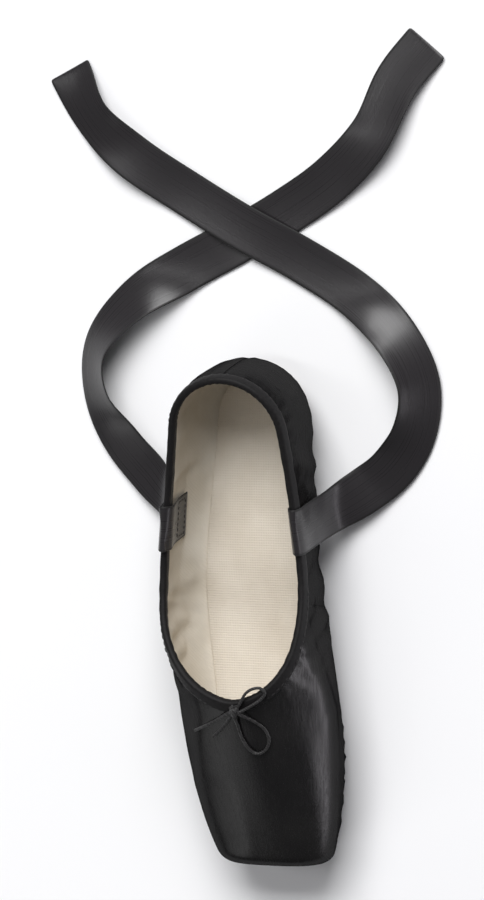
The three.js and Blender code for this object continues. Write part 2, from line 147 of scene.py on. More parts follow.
# Two turns of cord round the core, each as its lean in radians and its shift to the side
KNOT_TURNS = ((0.5, -0.6), (-0.45, 0.7))
KNOT_TURN_RADIUS = 1.75
KNOT_CORD_RADIUS = 0.72
KNOT_TURN_SCALE = (1.15, 0.72, 1.0)
KNOT_TURN_RISE = 0.1

# How far sideways the satin looks where the creases of the sides begin and are whole
STEEP = (0.1875, 0.8125)

# Low ridges beside each crease: share of its depth, and place and spread in half widths
RIDGE_SHARE = 0.55
RIDGE_AT = 1.7
RIDGE_SPREAD = 0.5

# Creases on the two sides, as lines of (x, height), with depth and half width, in millimetres
CREASES_MEDIAL = [
    ([(22, 37), (20, 32), (16, 22)], 0.4, 3.0),
    ([(15.5, 38), (12.5, 32), (8, 17)], 0.8, 3.4),
    ([(7, 40), (-1, 28), (-4, 13)], 0.8, 4.0),
    ([(-15, 38), (-21, 27), (-23, 12)], 0.9, 4.0),
    ([(-57, 42), (-63, 29), (-61, 12)], 0.8, 4.2),
    ([(-76, 46), (-81, 31), (-76, 15)], 0.7, 4.4),
    ([(-40, 14), (-62, 9), (-84, 10)], 0.7, 3.4),
]
CREASES_LATERAL = [
    ([(30, 47), (22, 36), (19, 20)], 0.8, 3.4),
    ([(17, 43), (8, 31), (6, 16)], 0.9, 3.8),
    ([(-4, 39), (-12, 27), (-11, 12)], 0.8, 4.0),
    ([(-60, 43), (-66, 28), (-70, 14)], 0.8, 4.2),
    ([(-82, 47), (-84, 32), (-90, 17)], 0.7, 4.4),
    ([(-14, 12), (-38, 9), (-60, 11)], 0.7, 3.4),
]

# A fold of slack satin that hangs over behind the box on the medial side, as a line of (x, height)
FOLD_X = (-5, 4, 11, 19)
FOLD_Z = (37, 36.5, 35, 32.5)
FOLD_DEPTH = 0.35
FOLD_HALF = 2.4
FOLD_REACH = 6.0
FOLD_FADE = 6

# Shallow dents in the satin over the box, as lines of (x, y), with depth and half width.
# They fade in between two heights.
VAMP_HEIGHTS = (26, 34)
CREASES_VAMP = [
    ([(44, -24), (58, -29), (74, -30)], 0.35, 4.5),
    ([(82, -14), (96, -12), (106, -11)], 0.25, 6.0),
]

# Edge of the hard box on the medial side, where the satin turns down: a low ridge, in millimetres.
# It is higher along the wing, and fades out at its heel end.
BOX_EDGE = [(2, 31, 41), (12, 33, 38.5), (22, 34.5, 36), (32, 36.5, 33), (44, 38, 29), (61, 39, 29.5),
            (83, 38, 28.5), (105, 36, 25.5), (114, 34.5, 23.5)]
BOX_EDGE_HEIGHT = 1.3
BOX_EDGE_HALF = 5.5
BOX_EDGE_FADE = 20
BOX_WING_HEIGHT = 0.9
BOX_WING_X = (52, 34)

# Shoulder of the medial wing, which squares the side before the satin turns down, in millimetres.
# It is highest at one x, and dies away before and behind it.
SHOULDER = [(14, 31.5, 44), (22, 33.2, 42), (30, 34.6, 39.6), (37, 36, 36.6), (46, 37.7, 33),
            (55, 38.4, 32.6), (72, 38.8, 31.5)]
SHOULDER_HEIGHT = 2.3
SHOULDER_X = 42
SHOULDER_RUN = 18
SHOULDER_HALF = 8.0

# Seams: the side seams lie in a leaning plane, the back seam runs up the middle of the heel
SIDE_SEAM_X = -7
SIDE_SEAM_LEAN = 0.22
SIDE_SEAM_TOP = 40
BACK_SEAM_BEFORE = -95
SEAM_FAR = 1000.0
SEAM_DEPTH = 0.35
SEAM_HALF = 1.6
SEAM_HEIGHTS = (8, 16)

# Gathers under the casing and pleats under the toe, in millimetres
GATHER_PITCH = 7.0
GATHER_DEPTH = 0.6
GATHER_REACH = 8.0
GATHER_REACH_SIDES = 20.0
GATHER_SIDES_X = (34, 14)
GATHER_THROAT_SHARE = 0.1
CASING_GATHER_DEPTH = 0.16
CASING_GATHER_RATE = 1.9
PLEAT_CENTRE = (66, 2)
PLEAT_COUNT = 34
PLEAT_DEPTH = 0.75
PLEAT_HEIGHTS = (17, 8)
PLEAT_X = (40, 65)
PLEAT_END_X = (118, 112)

# Slack of the satin between the creases, less over the box and near the sole
SLACK_DEPTH = 0.10
SLACK_X = (60, 20)
SLACK_OVER_BOX = 0.15
SLACK_HEIGHTS = (4.8, 12.8)

# How the threads run: round the heel in millimetres for each radian, and down the flat platform
HEEL_TURN = 30
PLATFORM_X = (112, 119)
PLATFORM_TOP = 35

# Topline: its points, and the angle in degrees of the casing's edge that it follows
TOPLINE_POINTS = 900
CASING_EDGE_ANGLE = 50
# Shorter rings of points are left out, and distances are worked out for so many points at once
RING_POINTS_LEAST = 20
POINTS_AT_ONCE = 4000

# Rounded edge of the outsole: width in millimetres, and least angle in degrees
SOLE_ROUND = 0.35
SOLE_ROUND_ANGLE = 35

# Stitches as (length, pitch, width), and where they run, in millimetres
CASING_STITCH = (2.3, 3.2, 0.5)
CASING_STITCH_ABOVE = 1.3
RIBBON_STITCH = (1.9, 2.6, 0.45)
RIBBON_STITCH_ABOVE = 0.05
RIBBON_STITCH_STEPS = 8
RIBBON_SEWN = [(-8.6, 2.4), (8.6, 2.4), (8.6, 12.6), (-8.6, 12.6)]

# Lights in metres and watts: name, place, aim, way of the width, width, depth, power, colour
WHITE = (1.0, 1.0, 1.0)
COOL_WHITE = (0.98, 0.94, 1.0)
LIGHTS = [
    ("strip_medial", (0.187, 0.733, 0.122), (0.04, 0.035, 0.035), (0.92, -0.39, 0), 0.8, 0.11, 1.12,
     COOL_WHITE),
    ("soft_lateral", (0.52, -0.50, 0.34), (0.08, -0.01, 0.04), (0.2, 0.2, 0.1), 0.5, 0.3, 0.61, WHITE),
    ("fade_lateral", (0.427, -0.395, 0.54), (0.08, -0.01, 0.04), (0.2, 0.2, 0.1), 0.5, 0.2, 0.17, WHITE),
    ("strip_ribbons", (-0.25, -0.5, 1.5), (-0.15, 0.0, 0.0), (0.25, 1, 0), 1.3, 0.16, 3.0, WHITE),
    ("overhead_heel", (-2.6, 0.25, 2.6), (-0.05, 0.0, 0.0), (0, 1, 0), 2.8, 2.1, 178, WHITE),
]
SKY_STRENGTH = 0.12
FLOOR_SIZE = 12
FLOOR_HEIGHT = -0.0003

# Gleam of the satin seen square on, and how fast it dies out towards the edges
SATIN_GLEAM = 0.95
SATIN_GLEAM_FALL = 4.2

# Radians in one turn, for the wave textures
WAVE_TURN = 6.2832


def linear(hex_text):
    """Linear colour of an sRGB hex value."""
    values = [int(hex_text[i:i + 2], 16) / 255 for i in (1, 3, 5)]
    return tuple(v / 12.92 if v <= 0.04045 else ((v + 0.055) / 1.055) ** 2.4 for v in values) + (1.0,)


def node(tree, kind, inputs=(), **settings):
    """Adds a shader node, sets it, and fills or links its inputs by name or number."""
    made = tree.nodes.new(kind)
    for key, value in settings.items():
        setattr(made, key, value)
    for key, value in dict(inputs).items():
        if isinstance(value, bpy.types.NodeSocket):
            tree.links.new(value, made.inputs[key])
        else:
            made.inputs[key].default_value = value
    return made


def wave_scale(pitch):
    """Scale of a wave texture whose bands lie a pitch apart, in metres."""
    return 1 / pitch / WAVE_TURN * 2


def ramp_between(made, low, high, low_colour, high_colour):
    """Sets the two stops of a colour ramp."""
    made.color_ramp.elements[0].position = low
    made.color_ramp.elements[0].color = low_colour
    made.color_ramp.elements[1].position = high
    made.color_ramp.elements[1].color = high_colour


def new_material(name):
    """A new material, its node tree and its shader."""
    material = bpy.data.materials.new(name)
    material.use_nodes = True
    tree = material.node_tree
    return material, tree, tree.nodes["Principled BSDF"]


def satin_material():
    # Black polyester satin: long floats give a smooth face with a soft wide gleam and fine streaks
    material, tree, shader = new_material("black_satin")
    place = node(tree, "ShaderNodeTexCoord").outputs["Object"]
    cloth = node(tree, "ShaderNodeAttribute", attribute_name="cloth").outputs["Vector"]
    # Streaks 0.9 mm wide and 25 mm long: real threads are finer, drawn coarse so that they show
    stretched = node(tree, "ShaderNodeMapping",
                     {"Vector": cloth, "Scale": (1 / 0.025, 1 / 0.0009, 1 / 0.0009)})
    streaks = node(tree, "ShaderNodeTexNoise", {"Vector": stretched.outputs[0], "Scale": 1.0, "Detail": 2.0})
    clouds = node(tree, "ShaderNodeTexNoise", {"Vector": place, "Scale": 1 / 0.028, "Detail": 3.0})
    shade = node(tree, "ShaderNodeValToRGB", {"Fac": clouds.outputs["Fac"]})
    ramp_between(shade, 0.32, 0.72, linear("#0f0e0f"), linear("#191818"))
    # Worn pile on the rim of the platform
    apart = node(tree, "ShaderNodeSeparateXYZ", {"Vector": place})
    end = node(tree, "ShaderNodeMapRange",
               {"Value": apart.outputs["X"], "From Min": 0.1135, "From Max": 0.1192})
    rubbed = node(tree, "ShaderNodeTexNoise", {"Vector": place, "Scale": 1 / 0.0016, "Detail": 6.0})
    wear = node(tree, "ShaderNodeMath", {0: end.outputs[0], 1: rubbed.outputs["Fac"]}, operation="MULTIPLY")
    worn = node(tree, "ShaderNodeMapRange", {"Value": wear.outputs[0], "From Min": 0.42, "From Max": 0.8})
    colour = node(tree, "ShaderNodeMix", {0: worn.outputs[0], 6: shade.outputs["Color"],
                                          7: linear("#3a3736")}, data_type="RGBA")
    gloss = node(tree, "ShaderNodeMapRange", {"Value": streaks.outputs["Fac"], "From Min": 0.3,
                                              "From Max": 0.7, "To Min": 0.21, "To Max": 0.31})
    rough = node(tree, "ShaderNodeMath", {0: gloss.outputs[0], 1: worn.outputs[0]}, operation="ADD",
                 use_clamp=True)
    # Grooves 1.2 mm wide where the side and back seams draw the satin in
    seams = node(tree, "ShaderNodeSeparateXYZ",
                 {"Vector": node(tree, "ShaderNodeAttribute", attribute_name="seams").outputs["Vector"]})
    side = node(tree, "ShaderNodeMath", {0: seams.outputs["X"]}, operation="ABSOLUTE")
    back = node(tree, "ShaderNodeMath", {0: seams.outputs["Y"]}, operation="ABSOLUTE")
    near = node(tree, "ShaderNodeMath", {0: side.outputs[0], 1: back.outputs[0]}, operation="MINIMUM")
    groove = node(tree, "ShaderNodeMapRange", {"Value": near.outputs[0], "From Min": 0.0, "From Max": 0.0006},
                  interpolation_type="SMOOTHSTEP")
    # In the seam grooves the colour darkens to near black: painted shade
    shadowed = node(tree, "ShaderNodeMix", {0: groove.outputs[0], 6: linear("#030303"),
                                            7: colour.outputs[2]}, data_type="RGBA")
    threads = node(tree, "ShaderNodeBump", {"Height": streaks.outputs["Fac"], "Strength": 0.2,
                                            "Distance": 0.00012})
    bump = node(tree, "ShaderNodeBump", {"Height": groove.outputs[0], "Strength": 0.7, "Distance": 0.0004,
                                         "Normal": threads.outputs[0]})
    tree.links.new(shadowed.outputs[2], shader.inputs["Base Color"])
    tree.links.new(rough.outputs[0], shader.inputs["Roughness"])
    tree.links.new(bump.outputs[0], shader.inputs["Normal"])
    # The floats hide each other at a flat angle, so the gleam dies out towards the edges
    glance = node(tree, "ShaderNodeLayerWeight", {"Blend": 0.5})
    square_on = node(tree, "ShaderNodeMath", {0: 1.0, 1: glance.outputs["Facing"]}, operation="SUBTRACT")
    dying = node(tree, "ShaderNodeMath", {0: square_on.outputs[0], 1: SATIN_GLEAM_FALL}, operation="POWER")
    gleam = node(tree, "ShaderNodeMath", {0: dying.outputs[0], 1: SATIN_GLEAM}, operation="MULTIPLY")
    tree.links.new(gleam.outputs[0], shader.inputs["Specular IOR Level"])
    return material


def lining_material():
    # Unbleached cotton drill: matt, with a diagonal twill line
    material, tree, shader = new_material("cotton_drill_lining")
    place = node(tree, "ShaderNodeTexCoord").outputs["Object"]
    # Twill lines 1.3 mm apart: the real ones are finer, drawn coarse so that they show
    turned = node(tree, "ShaderNodeMapping",
                  {"Vector": place, "Rotation": (0.0, math.radians(40), math.radians(25))})
    twill = node(tree, "ShaderNodeTexWave", {"Vector": turned.outputs[0], "Scale": wave_scale(0.0013),
                                             "Distortion": 1.2, "Detail": 1.0}, bands_direction="X")
    clouds = node(tree, "ShaderNodeTexNoise", {"Vector": place, "Scale": 1 / 0.018, "Detail": 4.0})
    shade = node(tree, "ShaderNodeValToRGB", {"Fac": clouds.outputs["Fac"]})
    ramp_between(shade, 0.3, 0.75, linear("#d3cabb"), linear("#e4ddd1"))
    bump = node(tree, "ShaderNodeBump",
                {"Height": twill.outputs["Fac"], "Strength": 0.35, "Distance": 0.0002})
    tree.links.new(shade.outputs["Color"], shader.inputs["Base Color"])
    tree.links.new(bump.outputs[0], shader.inputs["Normal"])
    shader.inputs["Roughness"].default_value = 0.88
    shader.inputs["Specular IOR Level"].default_value = 0.25
    return material


def tape_material():
    # Black cotton bias tape: matt, with a fine grain 1.1 mm wide
    material, tree, shader = new_material("black_bias_tape")
    place = node(tree, "ShaderNodeTexCoord").outputs["Object"]
    grain = node(tree, "ShaderNodeTexNoise", {"Vector": place, "Scale": 1 / 0.0011, "Detail": 3.0})
    shade = node(tree, "ShaderNodeValToRGB", {"Fac": grain.outputs["Fac"]})
    ramp_between(shade, 0.3, 0.7, linear("#0c0b0c"), linear("#171516"))
    bump = node(tree, "ShaderNodeBump", {"Height": grain.outputs["Fac"], "Strength": 0.4, "Distance": 0.0002})
    tree.links.new(shade.outputs["Color"], shader.inputs["Base Color"])
    tree.links.new(bump.outputs[0], shader.inputs["Normal"])
    shader.inputs["Roughness"].default_value = 0.62
    shader.inputs["Specular IOR Level"].default_value = 0.2
    shader.inputs["Sheen Weight"].default_value = 0.04
    shader.inputs["Sheen Roughness"].default_value = 0.4
    return material


def ribbon_material():
    # Black double-face satin ribbon: glossy with fine cross ribs and a dense woven selvage
    material, tree, shader = new_material("black_satin_ribbon")
    around = node(tree, "ShaderNodeTexCoord").outputs["UV"]
    apart = node(tree, "ShaderNodeSeparateXYZ", {"Vector": around})
    # U is metres across the ribbon and V metres along it
    from_middle = node(tree, "ShaderNodeMath", {0: apart.outputs["X"], 1: RIBBON_WIDTH * MM / 2},
                       operation="SUBTRACT")
    off = node(tree, "ShaderNodeMath", {0: from_middle.outputs[0]}, operation="ABSOLUTE")
    edge = node(tree, "ShaderNodeMapRange", {"Value": off.outputs[0], "From Min": 0.0097, "From Max": 0.0101})
    # Streaks 0.5 mm wide and 60 mm long, and ribs 1.1 mm apart: drawn coarse so that they show
    along = node(tree, "ShaderNodeMapping", {"Vector": around, "Scale": (1 / 0.0005, 1 / 0.06, 1.0)})
    streaks = node(tree, "ShaderNodeTexNoise", {"Vector": along.outputs[0], "Scale": 1.0, "Detail": 2.0})
    ribs = node(tree, "ShaderNodeTexWave", {"Vector": around, "Scale": wave_scale(0.0011),
                                            "Distortion": 0.4}, bands_direction="Y")
    height = node(tree, "ShaderNodeMix", {0: edge.outputs[0], 2: streaks.outputs["Fac"],
                                          3: ribs.outputs["Fac"]})
    shade = node(tree, "ShaderNodeMix", {0: edge.outputs[0], 6: linear("#272527"), 7: linear("#151415")},
                 data_type="RGBA")
    gloss = node(tree, "ShaderNodeMapRange", {"Value": streaks.outputs["Fac"], "From Min": 0.3,
                                              "From Max": 0.7, "To Min": 0.25, "To Max": 0.35})
    rough = node(tree, "ShaderNodeMix", {0: edge.outputs[0], 2: gloss.outputs[0], 3: 0.6})
    bump = node(tree, "ShaderNodeBump", {"Height": height.outputs[0], "Strength": 0.13, "Distance": 0.00015})
    tree.links.new(shade.outputs[2], shader.inputs["Base Color"])
    tree.links.new(rough.outputs[0], shader.inputs["Roughness"])
    tree.links.new(bump.outputs[0], shader.inputs["Normal"])
    shader.inputs["Specular IOR Level"].default_value = 0.4
    shader.inputs["Sheen Weight"].default_value = 0.1
    shader.inputs["Sheen Roughness"].default_value = 0.35
    return material


def cord_material():
    # Black braided cotton cord: matt, with short slanted strands
    material, tree, shader = new_material("black_cotton_cord")
    place = node(tree, "ShaderNodeTexCoord").outputs["Object"]
    turned = node(tree, "ShaderNodeMapping", {"Vector": place, "Rotation": (0.5, 0.6, 0.8)})
    # Strands 0.9 mm apart along the cord
    strands = node(tree, "ShaderNodeTexWave", {"Vector": turned.outputs[0], "Scale": wave_scale(0.0009),
                                               "Distortion": 2.0, "Detail": 1.0})
    shade = node(tree, "ShaderNodeValToRGB", {"Fac": strands.outputs["Fac"]})
    ramp_between(shade, 0.1, 0.9, linear("#0b0a0b"), linear("#201e1f"))
    bump = node(tree, "ShaderNodeBump",
                {"Height": strands.outputs["Fac"], "Strength": 0.5, "Distance": 0.00025})
    tree.links.new(shade.outputs["Color"], shader.inputs["Base Color"])
    tree.links.new(bump.outputs[0], shader.inputs["Normal"])
    shader.inputs["Roughness"].default_value = 0.55
    shader.inputs["Sheen Weight"].default_value = 0.15
    shader.inputs["Sheen Roughness"].default_value = 0.4
    return material


def thread_material():
    # Black polyester sewing thread: smooth and slightly glossy
    material, tree, shader = new_material("black_sewing_thread")
    place = node(tree, "ShaderNodeTexCoord").outputs["Object"]
    twist = node(tree, "ShaderNodeTexNoise", {"Vector": place, "Scale": 1 / 0.0006, "Detail": 1.0})
    shade = node(tree, "ShaderNodeValToRGB", {"Fac": twist.outputs["Fac"]})
    ramp_between(shade, 0.3, 0.7, linear("#0e0d0e"), linear("#1d1b1c"))
    tree.links.new(shade.outputs["Color"], shader.inputs["Base Color"])
    shader.inputs["Roughness"].default_value = 0.48
    shader.inputs["Specular IOR Level"].default_value = 0.3
    return material


def leather_material():
    # Bare tan sole leather: matt with a fine nap, scratches, a burnished edge and rubbed patches
    material, tree, shader = new_material("tan_sole_leather")
    place = node(tree, "ShaderNodeTexCoord").outputs["Object"]
    nap = node(tree, "ShaderNodeTexNoise", {"Vector": place, "Scale": 1 / 0.0012, "Detail": 5.0})
    clouds = node(tree, "ShaderNodeTexNoise", {"Vector": place, "Scale": 1 / 0.022, "Detail": 4.0})
    shade = node(tree, "ShaderNodeValToRGB", {"Fac": clouds.outputs["Fac"]})
    ramp_between(shade, 0.3, 0.75, linear("#9c7650"), linear("#bd9870"))
    fine = node(tree, "ShaderNodeValToRGB", {"Fac": nap.outputs["Fac"]})
    ramp_between(fine, 0.3, 0.8, linear("#c8c0b8"), linear("#ffffff"))
    colour = node(tree, "ShaderNodeMix", {0: 1.0, 6: shade.outputs["Color"], 7: fine.outputs["Color"]},
                  data_type="RGBA", blend_type="MULTIPLY")
    # Burnished edge: the faces that look sideways are darker
    faced = node(tree, "ShaderNodeSeparateXYZ",
                 {"Vector": node(tree, "ShaderNodeNewGeometry").outputs["Normal"]})
    flat = node(tree, "ShaderNodeMath", {0: faced.outputs["Z"]}, operation="ABSOLUTE")
    tread = node(tree, "ShaderNodeMapRange", {"Value": flat.outputs[0], "From Min": 0.5, "From Max": 0.9})
    edged = node(tree, "ShaderNodeMix", {0: tread.outputs[0], 6: linear("#6b492c"),
                                         7: colour.outputs[2]}, data_type="RGBA")
    # Rubbed patches under the ball and the heel, 60 mm and 44 mm across, broken up by grit 5 mm wide
    ball = node(tree, "ShaderNodeVectorMath", {0: place, 1: (0.052, 0.002, 0.0)}, operation="DISTANCE")
    heel = node(tree, "ShaderNodeVectorMath", {0: place, 1: (-0.086, -0.001, 0.0)}, operation="DISTANCE")
    under_ball = node(tree, "ShaderNodeMapRange", {"Value": ball.outputs["Value"], "From Min": 0.03,
                                                   "From Max": 0.008})
    under_heel = node(tree, "ShaderNodeMapRange", {"Value": heel.outputs["Value"], "From Min": 0.022,
                                                   "From Max": 0.006})
    trodden = node(tree, "ShaderNodeMath", {0: under_ball.outputs[0], 1: under_heel.outputs[0]},
                   operation="MAXIMUM")
    grit = node(tree, "ShaderNodeTexNoise", {"Vector": place, "Scale": 1 / 0.005, "Detail": 7.0,
                                             "Roughness": 0.7})
    scuffed = node(tree, "ShaderNodeMath", {0: trodden.outputs[0], 1: grit.outputs["Fac"]},
                   operation="MULTIPLY")
    rubbed = node(tree, "ShaderNodeMapRange", {"Value": scuffed.outputs[0], "From Min": 0.15, "From Max": 0.7,
                                               "To Max": 0.6})
    worn = node(tree, "ShaderNodeMix", {0: rubbed.outputs[0], 6: edged.outputs[2], 7: linear("#6f5f50")},
                data_type="RGBA")
    # Scratches 0.6 mm wide and 14 mm long, along the shoe
    drawn = node(tree, "ShaderNodeMapping", {"Vector": place, "Scale": (1 / 0.014, 1 / 0.0006, 1 / 0.0006)})
    scratches = node(tree, "ShaderNodeTexNoise", {"Vector": drawn.outputs[0], "Scale": 1.0, "Detail": 3.0})
    relief = node(tree, "ShaderNodeMath", {0: nap.outputs["Fac"], 1: scratches.outputs["Fac"]},
                  operation="ADD")
    bump = node(tree, "ShaderNodeBump", {"Height": relief.outputs[0], "Strength": 0.5, "Distance": 0.0003})
    gloss = node(tree, "ShaderNodeMapRange", {"Value": rubbed.outputs[0], "To Min": 0.84, "To Max": 0.62})
    tree.links.new(worn.outputs[2], shader.inputs["Base Color"])
    tree.links.new(gloss.outputs[0], shader.inputs["Roughness"])
    tree.links.new(bump.outputs[0], shader.inputs["Normal"])
    shader.inputs["Specular IOR Level"].default_value = 0.3
    return material


def sock_material():
    # Natural cotton canvas over the insole board: plain weave, matt, a little soiled
    material, tree, shader = new_material("cotton_canvas_sock")
    place = node(tree, "ShaderNodeTexCoord").outputs["Object"]
    # Threads 1.2 mm apart: drawn coarse so that the weave shows
    weave_settings = {"Vector": place, "Scale": wave_scale(0.0012), "Distortion": 0.6}
    warp = node(tree, "ShaderNodeTexWave", weave_settings, bands_direction="X")
    weft = node(tree, "ShaderNodeTexWave", weave_settings, bands_direction="Y")
    weave = node(tree, "ShaderNodeMath", {0: warp.outputs["Fac"], 1: weft.outputs["Fac"]}, operation="ADD")
    clouds = node(tree, "ShaderNodeTexNoise", {"Vector": place, "Scale": 1 / 0.03, "Detail": 4.0})
    shade = node(tree, "ShaderNodeValToRGB", {"Fac": clouds.outputs["Fac"]})
    ramp_between(shade, 0.3, 0.75, linear("#cdc3b4"), linear("#e2dacd"))
    bump = node(tree, "ShaderNodeBump", {"Height": weave.outputs[0], "Strength": 0.35, "Distance": 0.00025})
    tree.links.new(shade.outputs["Color"], shader.inputs["Base Color"])
    tree.links.new(bump.outputs[0], shader.inputs["Normal"])
    shader.inputs["Roughness"].default_value = 0.9
    shader.inputs["Specular IOR Level"].default_value = 0.2
    return material


def floor_material():
    # Pale matt studio floor
    material, tree, shader = new_material("pale_floor")
    place = node(tree, "ShaderNodeTexCoord").outputs["Object"]
    clouds = node(tree, "ShaderNodeTexNoise", {"Vector": place, "Scale": 3.0, "Detail": 2.0})
    shade = node(tree, "ShaderNodeValToRGB", {"Fac": clouds.outputs["Fac"]})
    ramp_between(shade, 0.3, 0.7, linear("#f2f2f4"), linear("#f7f7f8"))
    tree.links.new(shade.outputs["Color"], shader.inputs["Base Color"])
    shader.inputs["Roughness"].default_value = 0.7
    shader.inputs["Specular IOR Level"].default_value = 0.2
    return material


satin = satin_material()
lining = lining_material()
tape = tape_material()
ribbon_satin = ribbon_material()
cotton_cord = cord_material()
thread = thread_material()
sole_leather = leather_material()
sock_canvas = sock_material()
pale_floor = floor_material()


def pick(*objects):
    """Selects only these objects, in object mode."""
    if bpy.context.object and bpy.context.object.mode != "OBJECT":
        bpy.ops.object.mode_set(mode="OBJECT")
    bpy.ops.object.select_all(action="DESELECT")
    for one in objects:
        one.select_set(True)
    bpy.context.view_layer.objects.active = objects[0]


def coordinates(piece):
    """Places of a piece's vertices."""
    values = np.empty(len(piece.data.vertices) * 3, np.float64)
    piece.data.vertices.foreach_get("co", values)
    return values.reshape(-1, 3)


def move_to(piece, points):
    """Moves a piece's vertices."""
    piece.data.vertices.foreach_set("co", np.asarray(points, np.float64).ravel())
    piece.data.update()


def vertex_normals(piece):
    """The way that each vertex of a piece looks."""
    return np.array([vertex.normal for vertex in piece.data.vertices])


def copy_solid(name, piece_name):
    """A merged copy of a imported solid, with its triangle pairs joined into quads."""
    pick(frame["nodes"][name])
    bpy.ops.object.duplicate()
    piece = bpy.context.object
    piece.name = piece_name
    piece.data.name = piece_name
    bpy.ops.object.parent_clear(type="CLEAR_KEEP_TRANSFORM")
    del piece["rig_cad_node"]
    bpy.ops.object.mode_set(mode="EDIT")
    bpy.ops.mesh.select_all(action="SELECT")
    bpy.ops.mesh.remove_doubles(threshold=0.00001)
    bpy.ops.mesh.tris_convert_to_quads(face_threshold=0.7, shape_threshold=0.9)
    bpy.ops.object.mode_set(mode="OBJECT")
    return piece


def subdivide(piece, levels):
    """Adds and applies a subdivision surface."""
    pick(piece)
    surface = piece.modifiers.new("subdivision", "SUBSURF")
    surface.levels = levels
    surface.render_levels = levels
    bpy.ops.object.modifier_apply(modifier=surface.name)


def dress(piece, materials, slot, *nodes):
    """Smooth shading, materials, and the solids that the piece stands for."""
    pick(piece)
    bpy.ops.object.shade_smooth()
    piece.data.materials.clear()
    for material in materials:
        piece.data.materials.append(material)
    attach(piece, "root")
    if nodes:
        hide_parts(*nodes)
    return piece


def outward(points):
    """The way from the heart line of the shoe out to each point."""
    x = points[:, 0] / MM
    heart = np.empty_like(points)
    heart[:, 0] = np.clip(x, HEART_HEEL, HEART_TOE) * MM
    heart[:, 1] = np.interp(x, MIDDLE_X, MIDDLE_Y) * MM
    heart[:, 2] = HEART_HEIGHT * MM
    return points - heart


def sharp_rings(piece, angle):
    """Closed rings of sharp edges of a piece, each as an ordered array of points."""
    mesh = bmesh.new()
    mesh.from_mesh(piece.data)
    near = {}
    for edge in mesh.edges:
        if len(edge.link_faces) == 2 and edge.calc_face_angle() > angle:
            a, b = edge.verts
            near.setdefault(a.index, []).append(b.index)
            near.setdefault(b.index, []).append(a.index)
    mesh.verts.ensure_lookup_table()
    places = {index: np.array(mesh.verts[index].co) for index in near}
    mesh.free()
    rings = []
    unused = set(near)
    while unused:
        start = min(unused)
        ring = [start]
        unused.discard(start)
        while True:
            onward = [k for k in near[ring[-1]] if k in unused]
            if not onward:
                break
            ring.append(onward[0])
            unused.discard(onward[0])
        if len(ring) > RING_POINTS_LEAST:
            rings.append(np.array([places[k] for k in ring]))
    return rings


def resample(ring, count):
    """Points at equal steps round a closed line, and the line's length."""
    line = np.vstack([ring, ring[:1]])
    steps = np.linalg.norm(np.diff(line, axis=0), axis=1)
    at = np.concatenate([[0.0], np.cumsum(steps)])
    wanted = np.linspace(0.0, at[-1], count, endpoint=False)
    return np.stack([np.interp(wanted, at, line[:, k]) for k in range(3)], axis=1), at[-1]


def line_distance(points, line):
    """Distance from each point to a line of straight pieces, flat or in space."""
    best = np.full(len(points), np.inf)
    for a, b in zip(line[:-1], line[1:]):
        a = np.array(a, float)
        along = np.array(b, float) - a
        share = np.clip(((points - a) @ along) / (along @ along), 0.0, 1.0)
        gap = np.linalg.norm(points - a - share[:, None] * along, axis=1)
        best = np.minimum(best, gap)
    return best


def ramp(values, start, end):
    """0 up to the start, 1 from the end on, and straight between them."""
    return np.clip((values - start) / (end - start), 0.0, 1.0)


def trough(distance, depth, width):
    """A soft crease: a trough with a low ridge on both sides."""
    u = distance / width
    return depth * (-np.exp(-u * u) + RIDGE_SHARE * np.exp(-((u - RIDGE_AT) ** 2) / RIDGE_SPREAD))


def catmull(rows, steps):
    """Smooth line through rows of numbers, the same curve that the solids follow."""
    rows = np.asarray(rows, float)
    first = 2 * rows[0] - rows[1]
    last = 2 * rows[-1] - rows[-2]
    rows = np.vstack([first, rows, last])
    made = []
    spans = len(rows) - 3
    for i in range(spans * steps + 1):
        k = min(i // steps, spans - 1)
        t = (i - k * steps) / steps
        a, b, c, d = rows[k:k + 4]
        made.append(0.5 * (2 * b + (c - a) * t + (2 * a - 5 * b + 4 * c - d) * t * t
                           + (3 * b - a - 3 * c + d) * t ** 3))
    return np.array(made)


# Casing of folded tape, and the ring along its lower outer edge that its stitches follow
casing = copy_solid("topline_casing", "casing_tape")
casing_rings = sharp_rings(casing, math.radians(CASING_EDGE_ANGLE))
casing_ring = max(casing_rings, key=lambda ring: np.abs(ring[:, 1]).mean())
topline, topline_length = resample(casing_ring, TOPLINE_POINTS)
subdivide(casing, 2)


def ring_place(points):
    """Distance of each point from the topline and how far round the topline it lies."""
    gap = np.empty(len(points))
    place = np.empty(len(points))
    for k in range(0, len(points), POINTS_AT_ONCE):
        part = slice(k, k + POINTS_AT_ONCE)
        apart = np.linalg.norm(points[part, None, :] - topline[None, :, :], axis=2)
        nearest = apart.argmin(axis=1)
        gap[part] = apart[np.arange(len(apart)), nearest]
        place[part] = nearest * topline_length / len(topline)
    return gap, place


def gathers(place):
    """Small folds round the topline, from -1 to 1."""
    # Waves that go 5, 11 and 7 times round make their places and heights uneven
    s = place / (GATHER_PITCH * MM) * 2 * math.pi
    whole = topline_length / (2 * math.pi)
    slow = np.sin(place / whole * 5) + 0.6 * np.sin(place / whole * 11 + 1.3)
    return np.sin(s + 1.4 * slow) * (0.65 + 0.35 * np.sin(place / whole * 7 + 0.4))


def seam_distances(mm):
    """Signed distances of points from the side seams and from the back seam, in millimetres."""
    side = mm[:, 0] - SIDE_SEAM_X - SIDE_SEAM_LEAN * (SIDE_SEAM_TOP - mm[:, 2])
    back = np.where(mm[:, 0] < BACK_SEAM_BEFORE, mm[:, 1] - MIDDLE_Y[0], SEAM_FAR)
    return side, back


